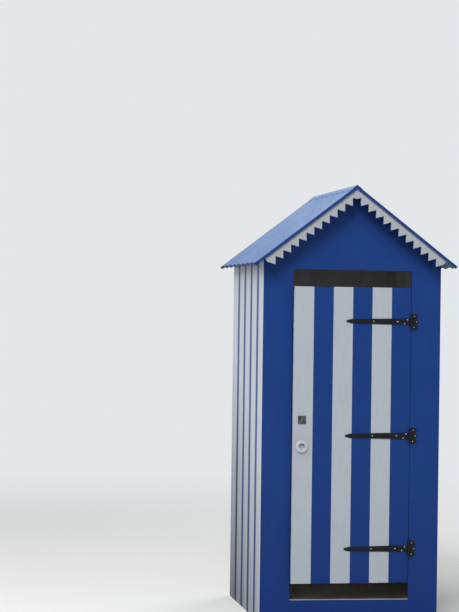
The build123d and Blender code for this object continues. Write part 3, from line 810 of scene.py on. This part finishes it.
plate_finish = Finish("lock_plate_steel")
stain = plate_finish.ramp(plate_finish.noise(STAINS_PER_METRE, detail=5), 0.38, 0.62)
plate_finish.surface({
    "Base Color": plate_finish.mix(stain, PLATE_STEEL, PLATE_STAINED),
    "Metallic": PLATE_METALLIC,
    "Roughness": PLATE_ROUGHNESS + stain * STAIN_IS_ROUGHER,
})
scratches = plate_finish.noise(PLATE_SCRATCHES_PER_METRE, PLATE_SCRATCH_GRAIN, 2)
plate_finish.relief(scratches, PLATE_SCRATCH_DEPTH)
give(plate_finish, "lock_plate")
case_finish = Finish("lock_case_zinc")
dull_spots = case_finish.noise(CASE_DULL_SPOTS_PER_METRE, detail=4)
case_finish.surface({
    "Base Color": CASE_ZINC,
    "Metallic": CASE_METALLIC,
    "Roughness": CASE_ROUGHNESS + dull_spots * CASE_ROUGHNESS_VARIES,
})
give(case_finish, "lock_case")


def slotted_head(radius, height, slot_width, slot_depth):
    """Mesh of one flat head with a straight slot cut across it."""
    head = bmesh.new()
    bmesh.ops.create_cone(head, cap_ends=True, segments=HEAD_SIDES,
                          radius1=radius, radius2=radius, depth=height)
    bmesh.ops.translate(head, vec=(0, 0, height / 2), verts=head.verts)
    for edge_x in (-slot_width / 2, slot_width / 2):
        top = [face for face in head.faces if face.normal.z > MOSTLY]
        geometry = {part for face in top for part in (*face.verts, *face.edges, face)}
        bmesh.ops.bisect_plane(head, geom=list(geometry), plane_co=(edge_x, 0, 0), plane_no=(1, 0, 0))
    top = [face for face in head.faces if face.normal.z > MOSTLY]
    middle = min(top, key=lambda face: abs(face.calc_center_median().x))
    sunk = bmesh.ops.extrude_discrete_faces(head, faces=[middle])["faces"][0]
    bmesh.ops.translate(head, vec=(0, 0, -slot_depth), verts=sunk.verts)
    return keep_mesh(head, "slotted_head")


lock_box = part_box("lock_plate")
lock_z = (lock_box[0].z + lock_box[1].z) / 2
lock_screw = slotted_head(LOCK_SCREW_RADIUS, LOCK_SCREW_HEIGHT, LOCK_SLOT_WIDTH, LOCK_SLOT_DEPTH)
lock_screws = bmesh.new()
lock_face = DOOR_FACE_BEHIND_PIN - LOCK_PLATE_THICK
for across in (-LOCK_SCREW_OUT, LOCK_SCREW_OUT):
    for rise in (-LOCK_SCREW_OUT, LOCK_SCREW_OUT):
        mark = Matrix.Translation((across - LOCK_FROM_PIN, lock_face, lock_z + rise))
        add_copies(lock_screws, lock_screw, [door_frame @ mark @ FACING_FRONT])
fit_piece(lock_screws, "lock_screws", plate_finish, "door")


# Round pull.
# A moulded white ring with softened rims, glued and pinned to the door, and a grey enamelled dish that
# closes the bottom of its recess. The dish is darker under the ring's upper rim, as painted shade.
PULL_WHITE = (0.465, 0.493, 0.535, 1)
PULL_WHITE_SOILED = (0.365, 0.383, 0.405, 1)
DISH_GREY = (0.430, 0.455, 0.480, 1)
DISH_SHADE_AND_SPECKS = (0.145, 0.155, 0.165, 1)
PULL_SOILED_SHARE = 0.3
PULL_ROUGHNESS = 0.30
PULL_GRAIN_PER_METRE = 500
PULL_GRAIN_DEPTH = 0.00008
DISH_ROUGHNESS = 0.45
DISH_SHADE_REACH = 0.012
DISH_SHADE_SHARE = 0.85
DISH_SPECKS_PER_METRE = 160

ring_finish = Finish("pull_white")
ring_finish.surface({
    "Base Color": uneven(ring_finish, PULL_WHITE, PULL_WHITE_SOILED, PULL_SOILED_SHARE),
    "Roughness": PULL_ROUGHNESS,
})
ring_finish.relief(ring_finish.noise(PULL_GRAIN_PER_METRE), PULL_GRAIN_DEPTH)
give(ring_finish, "pull_ring")
dish_finish = Finish("pull_grey")
# Painted shade under the ring's upper rim, with a few dark specks.
under_rim = dish_finish.ramp(dish_finish.z, pull_z - DISH_SHADE_REACH, pull_z + DISH_SHADE_REACH)
dish_specks = dish_finish.ramp(dish_finish.noise(DISH_SPECKS_PER_METRE, detail=4), 0.4, 0.6)
dish_shade_and_specks = under_rim * DISH_SHADE_SHARE + dish_specks * (1 - DISH_SHADE_SHARE)
dish_finish.surface({
    "Base Color": dish_finish.mix(dish_shade_and_specks, DISH_GREY, DISH_SHADE_AND_SPECKS),
    "Roughness": DISH_ROUGHNESS,
})
give(dish_finish, "pull_dish")


# Studio.
# A pale floor that fades into an even pale sky, two large soft lamps to the upper left, weaker ones to
# the right and behind, and a faint one in the room, at a level where a colour renders about as written.
FLOOR_PALE = (0.68, 0.68, 0.67, 1)
FLOOR_ROUGHNESS = 0.9
FLOOR_SIZE = 30
FLOOR_FADES_FROM = 2
FLOOR_FADES_TO = 10
SKY_PALE = (0.86, 0.88, 0.90, 1)
SKY_STRENGTH = 0.30
BACKDROP_STRENGTH = 0.90
MID_HUT = (0, 0, 1.2)
UNDER_ROOF = (0.25, 0, 2.0)
LAMPS = (
    # name, place, what it points at, width in metres, power in watts
    ("key", (-3.2, -7.2, 9.0), MID_HUT, 4.0, 865),
    ("left", (-6.5, -1.0, 6.5), MID_HUT, 4.0, 352),
    ("right", (7.0, -5.0, 4.0), MID_HUT, 5.0, 95),
    ("back", (5.0, 7.0, 6.0), MID_HUT, 5.0, 330),
    ("inside", (-0.15, 0.1, 0.75), UNDER_ROOF, 0.3, 0.9),
)

for name, place, aim, size, watts in LAMPS:
    lamp_data = bpy.data.lights.new(name, "AREA")
    lamp_data.energy = watts
    lamp_data.size = size
    lamp = bpy.data.objects.new(name, lamp_data)
    lamp.location = place
    lamp.rotation_euler = (Vector(aim) - lamp.location).to_track_quat("-Z", "Y").to_euler()
    lamp.visible_camera = False
    bpy.context.scene.collection.objects.link(lamp)

world = bpy.data.worlds.new("studio_sky")
bpy.context.scene.world = world
world.use_nodes = True
sky = world.node_tree
light_path = sky.nodes.new("ShaderNodeLightPath")
sky_strength = sky.nodes.new("ShaderNodeMix")
sky_strength.inputs[2].default_value = SKY_STRENGTH
sky_strength.inputs[3].default_value = BACKDROP_STRENGTH
shows_backdrop = light_path.outputs["Is Camera Ray"]
for ray in ("Is Glossy Ray", "Is Transmission Ray"):
    either = sky.nodes.new("ShaderNodeMath")
    sky.links.new(shows_backdrop, either.inputs[0])
    sky.links.new(light_path.outputs[ray], either.inputs[1])
    shows_backdrop = either.outputs[0]
sky.links.new(shows_backdrop, sky_strength.inputs[0])
sky.links.new(sky_strength.outputs[0], sky.nodes["Background"].inputs["Strength"])
sky.nodes["Background"].inputs["Color"].default_value = SKY_PALE

ground = bmesh.new()
bmesh.ops.create_grid(ground, x_segments=1, y_segments=1, size=FLOOR_SIZE / 2)
floor = bpy.data.objects.new("floor", keep_mesh(ground, "floor"))
bpy.context.scene.collection.objects.link(floor)
floor_paint = Finish("studio_floor")
from_hut = floor_paint.node("ShaderNodeVectorMath", {"operation": "LENGTH"}, {0: floor_paint.place}, "Value")
floor_paint.surface({
    "Base Color": FLOOR_PALE,
    "Roughness": FLOOR_ROUGHNESS,
    "Alpha": 1 - floor_paint.ramp(from_hut, FLOOR_FADES_FROM, FLOOR_FADES_TO),
})
floor.data.materials.append(floor_paint.material)
